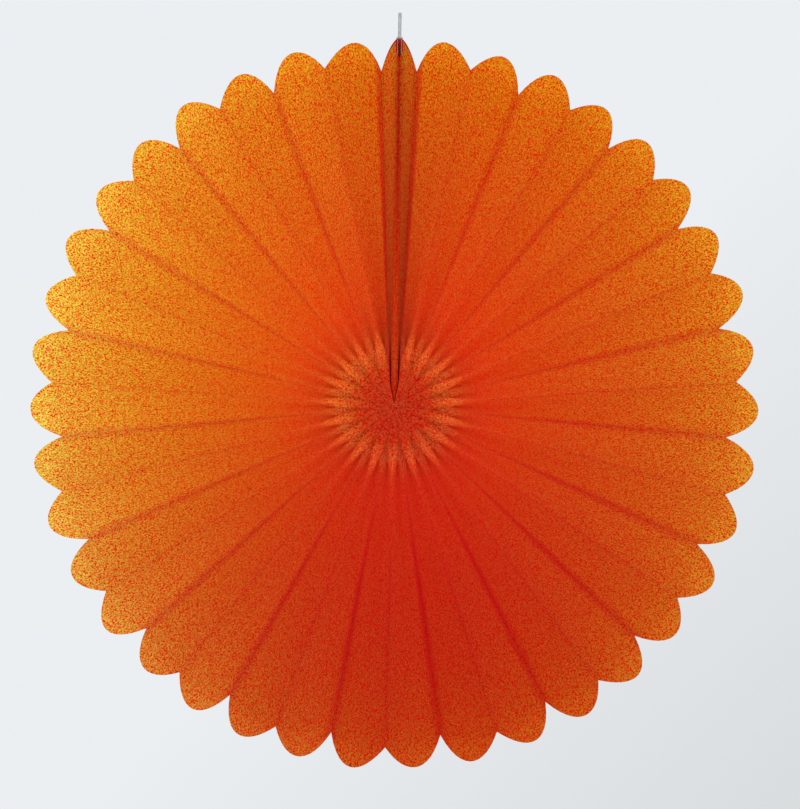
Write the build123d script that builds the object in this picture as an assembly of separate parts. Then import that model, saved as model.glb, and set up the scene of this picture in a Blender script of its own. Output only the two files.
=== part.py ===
"""Hanging paper fan rosette, in millimetres.

One strip of tissue is pleated and opened through a full turn. Its two end
panels are glued to stiff cards, the cards are joined by double-sided tape,
and a thread held between them hangs the fan. The rosette lies in the XZ plane
and shows its front towards -Y. The origin is the top of the thread, where the
fan is hung.
"""
from build123d import *
from math import asin, cos, pi, sin, sqrt
import os

# Rosette
fan_radius = 152.4          # centre to the tip of a petal
petal_height = 11.6         # from the notches to the tips
pleat_width = 30.0          # from fold to fold across one panel
free_panels = 38            # panels between the two folds beside the seam (even)
centre_radius = 4.0         # where the gathered inner edge of the sheet stands
sheet_thickness = 0.2
fold_width = 0.4            # flat ridge that stands for the rounded fold
trim_allowance = 3.0        # sheet beyond the petals before they are cut

# Seam
seam_half_opening = 7.5     # half the distance between the folds beside the seam
card_thickness = 0.5
card_start = 9.0            # centre to the inner end of the cards
card_edge_setback = 1.0     # card edge to the edge or fold of the panel on it
glue_line = 0.1             # between a card and the sheet on it
tape_start = 12.0           # centre to the inner end of the tape
tape_setback = 1.5          # tape to the edges of the cards

# Thread
thread_diameter = 1.4
thread_free = 10.5          # above the tip
thread_held = 30.0          # between the cards
thread_clearance = 0.05     # all round, to the cards and the tape

# Worked out from the sizes above
notch_radius = fan_radius - petal_height
tape_thickness = thread_diameter + 2 * thread_clearance
card_face = tape_thickness / 2
card_back = card_face + card_thickness
sheet_middle = card_back + glue_line + sheet_thickness / 2
blank_radius = fan_radius + trim_allowance
hang_height = fan_radius + thread_free
rail_steps = (0.0, 0.03, 0.09, 0.25, 0.5, 0.75, 1.0)


def seam_fold_angle(radius):
    """Angle between the seam and the first fold beside it, at this radius."""
    nearest = sheet_middle + fold_width
    along = (radius - centre_radius) / (notch_radius - centre_radius)
    return asin((nearest + (seam_half_opening - nearest) * along) / radius)


def fold_angle(index, radius):
    """Angle of a fold, clockwise from the seam as seen from the front."""
    first = seam_fold_angle(radius)
    return first + index * 2 * (pi - first) / free_panels


def fold_depth(radius):
    """Half the depth of the pleats, whose panels keep their width."""
    half_pitch = (pi - seam_fold_angle(radius)) / free_panels
    half_spread = radius * sin(half_pitch) - fold_width / 2 * cos(half_pitch)
    return sqrt((pleat_width / 2) ** 2 - half_spread ** 2)


def fold_corners(index, radius):
    """Both corners of the flat ridge of one fold: even folds are at the rear."""
    angle = fold_angle(index, radius)
    depth = fold_depth(radius) if index % 2 == 0 else -fold_depth(radius)
    out = Vector(sin(angle), 0, cos(angle)) * radius
    across = Vector(cos(angle), 0, -sin(angle)) * (fold_width / 2)
    level = Vector(0, depth, 0)
    return [out - across + level, out + across + level]


def end_panel(radius):
    """Front edge, crease and rear edge of the end panel right of the seam."""
    rear = fold_corners(0, radius)[0]
    wing = sqrt(rear.Y ** 2 + (rear.X - sheet_middle) ** 2)
    front = Vector(sheet_middle, wing - pleat_width, radius)
    crease = Vector(sheet_middle, 0, radius)
    return [front, crease, rear]


def sheet_section(radius):
    """Corners of the pleated sheet at one radius, from seam to seam."""
    start = end_panel(radius)[:2]
    end = [Vector(-corner.X, corner.Y, corner.Z) for corner in reversed(start)]
    folds = [fold_corners(index, radius) for index in range(free_panels + 1)]
    return start + sum(folds, []) + end


def offset_section(corners, distance):
    """The same corners moved so that each strip shifts sideways by distance."""
    normals = []
    for start, end in zip(corners, corners[1:]):
        middle = (start + end) * 0.5
        outward = Vector(middle.X, 0, middle.Z).normalized()
        normals.append((end - start).cross(outward).normalized())
    moved = [corners[0] + normals[0] * distance]
    for corner, before, after in zip(corners[1:], normals, normals[1:]):
        mitre = (before + after) * (1 / (1 + before.dot(after)))
        moved.append(corner + mitre * distance)
    moved.append(corners[-1] + normals[-1] * distance)
    return moved


def ruled(start, end):
    return Face.make_surface_from_curves(start, end)


def sheet_solid(upper_sections, lower_sections):
    """Closed solid between two skins that run from section to section."""
    upper = [Spline(*points) for points in zip(*upper_sections)]
    lower = [Spline(*points) for points in zip(*lower_sections)]
    faces = [ruled(a, b) for skin in (upper, lower) for a, b in zip(skin, skin[1:])]
    faces += [ruled(upper[0], lower[0]), ruled(upper[-1], lower[-1])]
    for above, below in ((upper_sections[0], lower_sections[0]),
                         (upper_sections[-1], lower_sections[-1])):
        for i in range(len(above) - 1):
            faces.append(ruled(Edge.make_line(above[i], above[i + 1]),
                               Edge.make_line(below[i], below[i + 1])))
    return Solid(Shell(faces))


def station_radii(start):
    return [start + (blank_radius - start) * step for step in rail_steps]


def petal_end(start, end):
    """Rounded end of one panel, between two notches."""
    middle = (start + end) * 0.5
    tip = middle.normalized() * fan_radius
    return Bezier(start, tip * 2 - middle, end)


def inside_rim():
    """Everything inside the scalloped rim, as seen from the front."""
    notches = []
    for index in range(free_panels + 1):
        angle = fold_angle(index, notch_radius)
        notches.append(Vector(sin(angle), 0, cos(angle)) * notch_radius)
    rim = [petal_end(a, b) for a, b in zip(notches, notches[1:] + notches[:1])]
    return extrude(Face(Wire(rim)), amount=pleat_width, dir=(0, 1, 0), both=True)


def front_corner():
    """What the rounded end cuts off the front half of the end panels."""
    front = end_panel(notch_radius)[0].Y
    start = Vector(0, front, notch_radius)
    shoulder = Vector(0, front / 2, fan_radius)
    tip = Vector(0, 0, fan_radius)
    top = blank_radius + trim_allowance
    beyond = front - trim_allowance
    waste = Polyline(tip, (0, 0, top), (0, beyond, top), (0, beyond, notch_radius), start)
    side = Face(Wire([Bezier(start, shoulder, tip), *waste.edges()]))
    return extrude(side, amount=seam_half_opening, dir=(1, 0, 0), both=True)


def make_sheet():
    sections = [sheet_section(radius) for radius in station_radii(centre_radius)]
    half = sheet_thickness / 2
    upper = [offset_section(section, half) for section in sections]
    lower = [offset_section(section, -half) for section in sections]
    return (sheet_solid(upper, lower) & inside_rim()) - front_corner()


def make_right_card():
    upper = []
    lower = []
    for radius in station_radii(card_start):
        front, crease, rear = end_panel(radius)
        front += Vector(0, card_edge_setback, 0)
        rear -= (rear - crease).normalized() * card_edge_setback
        edges = [front, crease, rear]
        upper.append(offset_section(edges, card_back - sheet_middle))
        lower.append(offset_section(edges, card_face - sheet_middle))
    return (sheet_solid(upper, lower) & inside_rim()) - front_corner()


def make_tape():
    front = -pleat_width / 2 + card_edge_setback + tape_setback
    rear = -thread_diameter / 2 - thread_clearance
    length = notch_radius - tape_setback - tape_start
    middle = Pos(0, (front + rear) / 2, tape_start + length / 2)
    return middle * Box(tape_thickness, rear - front, length)


def make_thread():
    length = thread_free + thread_held
    foot = Pos(0, 0, fan_radius - thread_held)
    return foot * Cylinder(thread_diameter / 2, length,
                           align=(Align.CENTER, Align.CENTER, Align.MIN))


right_card = make_right_card()
parts = {
    "pleated_tissue_sheet": make_sheet(),
    "end_card_right": right_card,
    "end_card_left": mirror(right_card, about=Plane.YZ),
    "double_sided_tape": make_tape(),
    "hanging_thread": make_thread(),
}

os.makedirs("parts", exist_ok=True)
for name, shape in parts.items():
    export_step(Pos(0, 0, -hang_height) * shape, f"parts/{name}.step")
print("thread:", thread_free + thread_held, "mm long, one straight run")
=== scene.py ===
from math import asin, cos, pi, radians, sin, sqrt

import bpy
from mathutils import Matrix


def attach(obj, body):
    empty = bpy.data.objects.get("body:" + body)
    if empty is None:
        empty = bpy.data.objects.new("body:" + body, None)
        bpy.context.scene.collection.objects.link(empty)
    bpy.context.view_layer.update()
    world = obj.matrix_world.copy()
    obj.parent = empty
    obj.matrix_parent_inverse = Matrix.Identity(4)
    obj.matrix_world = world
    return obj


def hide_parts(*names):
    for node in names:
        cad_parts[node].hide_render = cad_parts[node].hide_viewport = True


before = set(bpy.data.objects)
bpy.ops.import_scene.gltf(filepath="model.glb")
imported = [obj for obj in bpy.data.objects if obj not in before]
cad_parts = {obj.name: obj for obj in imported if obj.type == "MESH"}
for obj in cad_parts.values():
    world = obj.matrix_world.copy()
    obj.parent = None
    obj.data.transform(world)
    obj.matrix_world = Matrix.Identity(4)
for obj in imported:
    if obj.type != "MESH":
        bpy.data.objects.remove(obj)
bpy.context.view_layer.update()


# The sheet, in metres, as in the part
CENTRE_Z = -0.1629           # the fan hangs below the origin
FAN_R = 0.1524
PETAL = 0.0116
NOTCH_R = FAN_R - PETAL
PLEAT = 0.030
FREE = 38
SEAM_OPEN = 0.0075
SEAM_MID = 0.00145

# What the part leaves to the look
INNER = 0.0001
CLOSED_R = 0.009             # inside this the gathered edge closes up
TURN_IN = 0.0009             # front edges of the end panels, turned in over the cards
PRESSED_R = 0.012            # inside this the folds are pressed flat against each other
LOOSE_R = 0.033              # outside this they are free
PRESSED_COVER = 0.995        # share of the spacing that a pressed fold covers
PETAL_LEAN = 0.2             # how far the tips lean towards the front folds
CRUMPLE = 0.00022
CRUMPLE_R = 0.05             # inside this the tissue is smoother
COLS = 14
ROWS = 56

# Dye with painted light and shade, in levels from 0 to 255; the lifts paint in light lost between
# the pleats
RING_OUT = 0.22              # painted light: a lighter ring round the centre, in fan radii
RING_IN = 0.08
RING_LIGHT = 7
TIP_FROM = 0.93              # outside this the tips are painted paler as a glow, in fan radii
TIP_GLOW = 5
REAR_FOLD_SHADE = 24             # painted shade, darker along the rear folds
FRONT_FOLD_SHADE = 9
# Painted shade along the rear folds beside the seam
SEAM_FOLD_SHADE = 22
# Painted light on the wings beside the seam
WING_LIGHT = 26
STRIP_LIFT = 1.12
RED_LIMIT = 0.95
RED_LIFT = (0.75, 1.8)       # gain at the centre, and how fast it falls outwards
GREEN_LIFT = (4.2, 1.5)
BLUE_LIFT = (8, 1.8)
FLAT_LIFT = (0.14, 0.1, 0.2)  # more of each colour where the folds are pressed flat, painted light


# ---- tissue ----
def ramp(v):
    return max(0.0, min(1.0, v))


def drift(t):
    """Uneven spread of the folds round the fan."""
    return radians(-0.3 * sin(pi * t) - 0.6 * sin(2 * pi * t) - 0.9 * sin(3 * pi * t))


def seam_mid(r):
    """Half the distance between the two end panels."""
    return SEAM_MID * min(1.0, r / CLOSED_R)


def first_angle(r):
    near = seam_mid(r)
    along = ramp((r - INNER) / (NOTCH_R - INNER))
    return asin((near + (SEAM_OPEN - near) * along) / r)


def fold(i, r):
    """Where fold i is at radius r, from the centre; even folds are at the rear."""
    a = first_angle(r)
    angle = a + i * 2 * (pi - a) / FREE + drift(i / FREE)
    half = r * sin((pi - a) / FREE)
    depth = sqrt(max(0.0, (PLEAT / 2) ** 2 - half ** 2))
    return (r * sin(angle), depth if i % 2 == 0 else -depth, r * cos(angle))


def lerp(a, b, u):
    return tuple(p + (q - p) * u for p, q in zip(a, b))


def pressed(r):
    """How far the folds are pressed flat at radius r, from 0 to 1."""
    t = ramp((LOOSE_R - r) / (LOOSE_R - PRESSED_R))
    return t * t * (3 - 2 * t)


def across_panel(u):
    """Where a pressed panel is, across and in depth: flat, back along a wall, flat again."""
    run = 2 / COLS
    if u <= run:
        return PRESSED_COVER * u / run, 0.0
    if u >= 1 - run:
        return 1 - PRESSED_COVER * (1 - u) / run, 1.0
    wall = (u - run) / (1 - 2 * run)
    return PRESSED_COVER + (1 - 2 * PRESSED_COVER) * wall, wall


def panel_point(i, u, r):
    """Point on the free panel between folds i and i + 1."""
    flat = pressed(r)
    start = fold(i, r)
    end = fold(i + 1, r)
    along, down = across_panel(u)
    share = u + (along - u) * flat
    depth = u + (down - u) * flat
    x, _, z = lerp(start, end, share)
    return x, start[1] + (end[1] - start[1]) * depth, z


def petal_radius(u, lean=0.0, tall=1.0):
    """Rounded outer end of a panel, u of the way across it."""
    w = u + lean * u * (1 - u)
    return NOTCH_R + PETAL * tall * 4 * w * (1 - w)


def crumple(i, u, r):
    edge = 4 * u * (1 - u)
    wave = sin(61 * r + 2.1 * i)
    wave += 0.6 * sin(137 * r + 5.3 * i + 4 * u)
    wave += 0.4 * sin(290 * r + 1.7 * i - 6 * u)
    return CRUMPLE * edge * wave * min(1.0, r / CRUMPLE_R)


def srgb(v):
    """Linear value of an sRGB level."""
    v = ramp(v / 255)
    return v / 12.92 if v <= 0.04045 else ((v + 0.055) / 1.055) ** 2.4


def lift(value, deep, gain):
    """Makes up for the light lost between the pleats towards the centre."""
    return value * (1 + gain[0] * deep ** gain[1])


def dye_and_painted_light(p, i, u):
    """Tissue colour with painted light and shade: red at the centre and below, orange towards the
    upper left rim.

    The three formulas were set by comparing mean colours with the photo's, sector by sector.
    """
    x = p[0] / FAN_R
    z = (p[2] - CENTRE_Z) / FAN_R
    s = min(1.0, sqrt(x * x + z * z))
    side = (x * x - z * z) / max(s, 0.1)
    rim = s ** 4
    # Painted light: the terms in x, z and side make it paler to the upper left rim, redder below
    red = 209 + 12 * s * s - 10 * x * s + 13 * z + 9 * side * s
    green = 56 + 67 * s ** 2.5 + 8 * s ** 12 - 24 * x + (34 - 10 * s * s) * z + 30 * side
    green -= 40 * x * x * (1 - s)
    blue = 11 + (22 - 19 * x / max(s, 0.1) + 18 * side / max(s, 0.1)) * rim
    blue += 12 * max(0.0, 1 - s / 0.35)
    # Painted light: a lighter ring round the centre
    green += RING_LIGHT * ramp((RING_OUT - s) / 0.03) * ramp((s - RING_IN) / 0.03)
    near = min(u, 1 - u)
    rear = (u < 0.5) == (i % 2 == 0)
    flat = pressed(s * FAN_R) ** 2
    # Painted shade along the folds, none where they are pressed flat
    fold_shade = max(0.0, 1 - near / (0.13 if rear else 0.06)) * min(1.0, s / 0.5) * (1 - flat)
    # Painted light and shade: panels that start at a rear fold lighter, the others darker, tips
    # paler
    shade = (1.5 if i % 2 == 0 else -1.0) + TIP_GLOW * ramp((s - TIP_FROM) / 0.02)
    dark = (REAR_FOLD_SHADE if rear else FRONT_FOLD_SHADE) * fold_shade
    if i > FREE and u > 1 - 1.5 / COLS:
        return seam_line(red, green, blue, s, u > 1 - 0.5 / COLS)
    if i > FREE:
        shade += wing_shade(u)
    # Painted shade along the rear folds beside the seam
    elif (i == 0 and u < 0.08) or (i == FREE - 1 and u > 0.92):
        dark += SEAM_FOLD_SHADE
    # Painted light: lifts towards the centre and where the folds are pressed flat
    deep = (1 - s) * (1 - flat)
    levels = (red + shade - 0.4 * dark, green + shade - dark, blue + 0.6 * shade)
    gains = zip(levels, (RED_LIFT, GREEN_LIFT, BLUE_LIFT), FLAT_LIFT)
    lifted = [lift(srgb(v), deep, gain) * (1 + more * flat) for v, gain, more in gains]
    return (min(RED_LIMIT, lifted[0]), lifted[1], lifted[2], 1.0)


def wing_shade(u):
    """Painted light on the wings beside the seam, and painted shade along their outer edges."""
    return -SEAM_FOLD_SHADE if u < 0.05 else WING_LIGHT


def seam_line(red, green, blue, s, at_edge):
    """Turned-in strip: at the rim its edge is painted deep red as shade, further in it is like the
    rest.
    """
    # Painted shade: the edge turns deep red towards the rim
    deep_red = ramp((s - 0.3) / 0.4) if at_edge else 0
    levels = (red - 50 * deep_red, green + (20 - green) * deep_red, blue + (12 - blue) * deep_red)
    # Painted light: the whole strip is made lighter
    return (*(srgb(v) * STRIP_LIFT for v in levels), 1.0)


verts = []
faces = []
tints = []


def add_panel(i, place, outer):
    """Adds one panel; place gives a point on it and outer where its end is."""
    start = len(verts)
    for row in range(ROWS + 1):
        v = row / ROWS
        for col in range(COLS + 1):
            u = col / COLS
            r = INNER + (outer(u) - INNER) * v
            x, y, z = place(u, r)
            p = (x, y + crumple(i, u, r), z + CENTRE_Z)
            verts.append(p)
            tints.append(dye_and_painted_light(p, i, u))
    wide = COLS + 1
    for row in range(ROWS):
        for col in range(COLS):
            a = start + row * wide + col
            faces.append((a, a + 1, a + 1 + wide, a + wide))


def free_panel(i):
    lean = (PETAL_LEAN if i % 2 == 0 else -PETAL_LEAN) * (1 + 0.5 * sin(2.4 * i))
    tall = 1 + 0.035 * sin(3.7 * i + 1) + 0.02 * sin(1.3 * i)

    def place(u, r):
        return panel_point(i, u, r)

    add_panel(i, place, lambda u: petal_radius(u, lean, tall))


def end_panel(i, side):
    """Panel beside the seam: its rear half springs out and its front edge turns in."""
    def place(u, r):
        rear = fold(0, r)
        across = rear[0] - seam_mid(r)
        wing = sqrt(rear[1] ** 2 + across ** 2)
        flat = 1 - 1 / COLS
        along = (PLEAT - TURN_IN) * min(1.0, u / flat)
        along += TURN_IN * max(0.0, u - flat) * COLS
        if along < wing:
            w = along / wing
            return (side * (rear[0] - across * w), rear[1] * (1 - w), rear[2])
        mid = seam_mid(r)
        turned = max(0.0, (along - PLEAT + TURN_IN) / TURN_IN)
        across = mid * (1 - turned)
        return (side * across, -(along - wing), rear[2])

    add_panel(i, place, petal_radius)


for index in range(FREE):
    free_panel(index)
end_panel(FREE + 2, 1)       # numbers above FREE mark the panels beside the seam
end_panel(FREE + 3, -1)

mesh = bpy.data.meshes.new("tissue_fan")
mesh.from_pydata(verts, [], faces)
tint = mesh.color_attributes.new("dye_and_painted_light", "FLOAT_COLOR", "POINT")
for point, colour in zip(tint.data, tints):
    point.color = colour
for poly in mesh.polygons:
    poly.use_smooth = True
tissue = bpy.data.objects.new("tissue_fan", mesh)
bpy.context.scene.collection.objects.link(tissue)
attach(tissue, "root")
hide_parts("pleated_tissue_sheet")


# ---- materials ----
GRAIN_BUMP = 0.0002          # metres
GRAIN_NOISE = (0.38, 0.62)   # noise values that give the lowest and highest grain
DULL = 0.1                   # specular level of paper and thread
CARD_RED = (0.42, 0.022, 0.012, 1)
SEEN_THROUGH = 0.5           # share of the tissue that lets light through
RED_GRAIN = (0.88, 1.12)     # lowest and highest share of the dye in a grain
GREEN_GRAIN = (0, 2)         # fibres take the dye unevenly, so the grain varies in hue


def material(name):
    made = bpy.data.materials.new(name)
    made.use_nodes = True
    nodes = made.node_tree.nodes
    return made, nodes, made.node_tree.links, nodes["Principled BSDF"]


def speckle(nodes, links, scale, low, high, stretch=(1, 1, 1)):
    """Object-space grain: its raw height, and a grey value between low and high."""
    coords = nodes.new("ShaderNodeTexCoord")
    spread = nodes.new("ShaderNodeMapping")
    spread.inputs["Scale"].default_value = stretch
    noise = nodes.new("ShaderNodeTexNoise")
    noise.inputs["Scale"].default_value = scale
    noise.inputs["Detail"].default_value = 6
    level = nodes.new("ShaderNodeMapRange")
    level.inputs["From Min"].default_value = GRAIN_NOISE[0]
    level.inputs["From Max"].default_value = GRAIN_NOISE[1]
    level.inputs["To Min"].default_value = low
    level.inputs["To Max"].default_value = high
    links.new(coords.outputs["Object"], spread.inputs["Vector"])
    links.new(spread.outputs["Vector"], noise.inputs["Vector"])
    links.new(noise.outputs["Fac"], level.inputs["Value"])
    return noise.outputs["Fac"], level.outputs["Result"]


def shade(nodes, links, shader, grain, rough):
    """Gives the shader a colour scaled by the grain; the colour itself is set by the caller."""
    scaled = nodes.new("ShaderNodeVectorMath")
    scaled.operation = "SCALE"
    links.new(grain, scaled.inputs["Scale"])
    links.new(scaled.outputs["Vector"], shader.inputs["Base Color"])
    shader.inputs["Roughness"].default_value = rough
    shader.inputs["Specular IOR Level"].default_value = DULL
    return scaled


def roughen(nodes, links, height, shader, strength):
    bump = nodes.new("ShaderNodeBump")
    bump.inputs["Strength"].default_value = strength
    bump.inputs["Distance"].default_value = GRAIN_BUMP
    links.new(height, bump.inputs["Height"])
    links.new(bump.outputs["Normal"], shader.inputs["Normal"])


def tissue_look():
    made, nodes, links, shader = material("tissue")
    dye_and_light = nodes.new("ShaderNodeAttribute")
    dye_and_light.attribute_name = "dye_and_painted_light"
    height, grain = speckle(nodes, links, 1700, *RED_GRAIN)
    fibres, hue = speckle(nodes, links, 1450, *GREEN_GRAIN)
    colour = shade(nodes, links, shader, grain, 0.9)
    tinted = nodes.new("ShaderNodeVectorMath")
    tinted.operation = "MULTIPLY"
    hues = nodes.new("ShaderNodeCombineXYZ")
    hues.inputs["X"].default_value = 1
    links.new(hue, hues.inputs["Y"])
    links.new(hue, hues.inputs["Z"])
    links.new(dye_and_light.outputs["Color"], tinted.inputs[0])
    links.new(hues.outputs["Vector"], tinted.inputs[1])
    links.new(tinted.outputs["Vector"], colour.inputs[0])
    roughen(nodes, links, height, shader, 0.25)
    through = nodes.new("ShaderNodeBsdfTranslucent")
    mix = nodes.new("ShaderNodeMixShader")
    mix.inputs["Fac"].default_value = SEEN_THROUGH
    links.new(colour.outputs["Vector"], through.inputs["Color"])
    links.new(shader.outputs["BSDF"], mix.inputs[1])
    links.new(through.outputs["BSDF"], mix.inputs[2])
    links.new(mix.outputs["Shader"], nodes["Material Output"].inputs["Surface"])
    return made


def grained(name, colour, scale, rough, stretch=(1, 1, 1)):
    made, nodes, links, shader = material(name)
    height, grain = speckle(nodes, links, scale, 0.8, 1.2, stretch)
    shade(nodes, links, shader, grain, rough).inputs[0].default_value = colour
    roughen(nodes, links, height, shader, 0.3)
    return made


def thread_look():
    """Grey thread, painted dark red as shade below the point where it enters the seam."""
    made, nodes, links, shader = material("thread")
    height, grain = speckle(nodes, links, 1500, 0.8, 1.2, (1, 1, 0.3))
    colour = shade(nodes, links, shader, grain, 0.7)
    coords = nodes.new("ShaderNodeTexCoord")
    axes = nodes.new("ShaderNodeSeparateXYZ")
    # Painted shade: below the tip of the seam the thread turns the card's deep red
    free = nodes.new("ShaderNodeMapRange")
    free.inputs["From Min"].default_value = -THREAD_FREE - 0.0006
    free.inputs["From Max"].default_value = -THREAD_FREE + 0.0002
    blend = nodes.new("ShaderNodeMix")
    blend.data_type = "RGBA"
    blend.inputs["A"].default_value = CARD_RED
    blend.inputs["B"].default_value = (0.36, 0.40, 0.42, 1)
    links.new(coords.outputs["Object"], axes.inputs["Vector"])
    links.new(axes.outputs["Z"], free.inputs["Value"])
    links.new(free.outputs["Result"], blend.inputs["Factor"])
    links.new(blend.outputs["Result"], colour.inputs[0])
    roughen(nodes, links, height, shader, 0.3)
    return made


mesh.materials.append(tissue_look())
card = grained("card", CARD_RED[:3], 500, 0.95)
tape = grained("tape", (0.30, 0.018, 0.012), 200, 0.8)
for name, look in (("end_card_right", card), ("end_card_left", card), ("double_sided_tape", tape)):
    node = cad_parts[name]
    node.data.materials.clear()
    node.data.materials.append(look)

# ---- thread ----
THREAD_LENGTH = 0.0405
THREAD_FREE = 0.0105         # above the tip of the seam
THREAD_D = 0.0014

route = [(0, 0, 0), (0, 0, -THREAD_FREE), (0, 0, -THREAD_LENGTH)]   # top, tip of the seam, held end
curve = bpy.data.curves.new("thread", "CURVE")
curve.dimensions = "3D"
curve.bevel_depth = THREAD_D / 2
curve.bevel_resolution = 4
curve.use_fill_caps = True
line = curve.splines.new("NURBS")
line.points.add(len(route) - 1)
for point, place in zip(line.points, route):
    point.co = (*place, 1)
line.order_u = 3
line.use_endpoint_u = True
curve.materials.append(thread_look())
thread = bpy.data.objects.new("thread", curve)
bpy.context.scene.collection.objects.link(thread)
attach(thread, "root")
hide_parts("hanging_thread")

# ---- floor ----
bpy.ops.mesh.primitive_plane_add(size=1.0, location=(0, -0.27, -0.42))
floor = bpy.context.object
floor.name = "floor"
floor_look, _, _, floor_shader = material("floor")
floor_shader.inputs["Base Color"].default_value = (0.80, 0.82, 0.84, 1)
floor_shader.inputs["Roughness"].default_value = 0.9
floor.data.materials.append(floor_look)

# ---- light ----
lamp = bpy.data.lights.new("soft_light", "AREA")
lamp.shape = "DISK"
lamp.size = 0.9
lamp.energy = 20
light = bpy.data.objects.new("soft_light", lamp)
light.location = (-0.08, -1.7, -0.06)
light.rotation_euler = (radians(86.6), 0, radians(-2.7))
bpy.context.scene.collection.objects.link(light)

# The camera, reflections and light through the tissue see a pale backdrop; the rest is lit
# by a plain sky
world = bpy.data.worlds.new("studio")
bpy.context.scene.world = world
world.use_nodes = True
sky = world.node_tree.nodes
wires = world.node_tree.links
ambient = sky["Background"]
ambient.inputs["Color"].default_value = (1, 1, 1, 1)
ambient.inputs["Strength"].default_value = 0.65
pale = sky.new("ShaderNodeBackground")
seen = sky.new("ShaderNodeTexCoord")
slope = sky.new("ShaderNodeVectorMath")
slope.operation = "DOT_PRODUCT"
slope.inputs[1].default_value = (1, 0, -1)
shadow = sky.new("ShaderNodeMapRange")
shadow.inputs["From Min"].default_value = 0.05
shadow.inputs["From Max"].default_value = 0.475
shades = sky.new("ShaderNodeMix")
shades.data_type = "RGBA"
shades.inputs["A"].default_value = (0.83, 0.86, 0.89, 1)
shades.inputs["B"].default_value = (0.69, 0.71, 0.72, 1)
wires.new(seen.outputs["Generated"], slope.inputs[0])
wires.new(slope.outputs["Value"], shadow.inputs["Value"])
wires.new(shadow.outputs["Result"], shades.inputs["Factor"])
wires.new(shades.outputs["Result"], pale.inputs["Color"])
path = sky.new("ShaderNodeLightPath")
pick = sky.new("ShaderNodeMixShader")
sees = path.outputs["Is Camera Ray"]
for ray in ("Is Glossy Ray", "Is Transmission Ray"):
    either = sky.new("ShaderNodeMath")
    either.operation = "MAXIMUM"
    wires.new(sees, either.inputs[0])
    wires.new(path.outputs[ray], either.inputs[1])
    sees = either.outputs["Value"]
wires.new(sees, pick.inputs["Fac"])
wires.new(ambient.outputs["Background"], pick.inputs[1])
wires.new(pale.outputs["Background"], pick.inputs[2])
wires.new(pick.outputs["Shader"], sky["World Output"].inputs["Surface"])

# ---- camera ----
eye = bpy.data.cameras.new("camera")
eye.sensor_fit = "HORIZONTAL"
eye.angle = radians(26.6)
eye.shift_x = 0.0075
camera = bpy.data.objects.new("camera", eye)
camera.location = (0, -0.704, CENTRE_Z)
camera.rotation_euler = (radians(90), radians(-0.87), 0)
bpy.context.scene.collection.objects.link(camera)
bpy.context.scene.camera = camera
bpy.context.scene.view_settings.view_transform = "Standard"
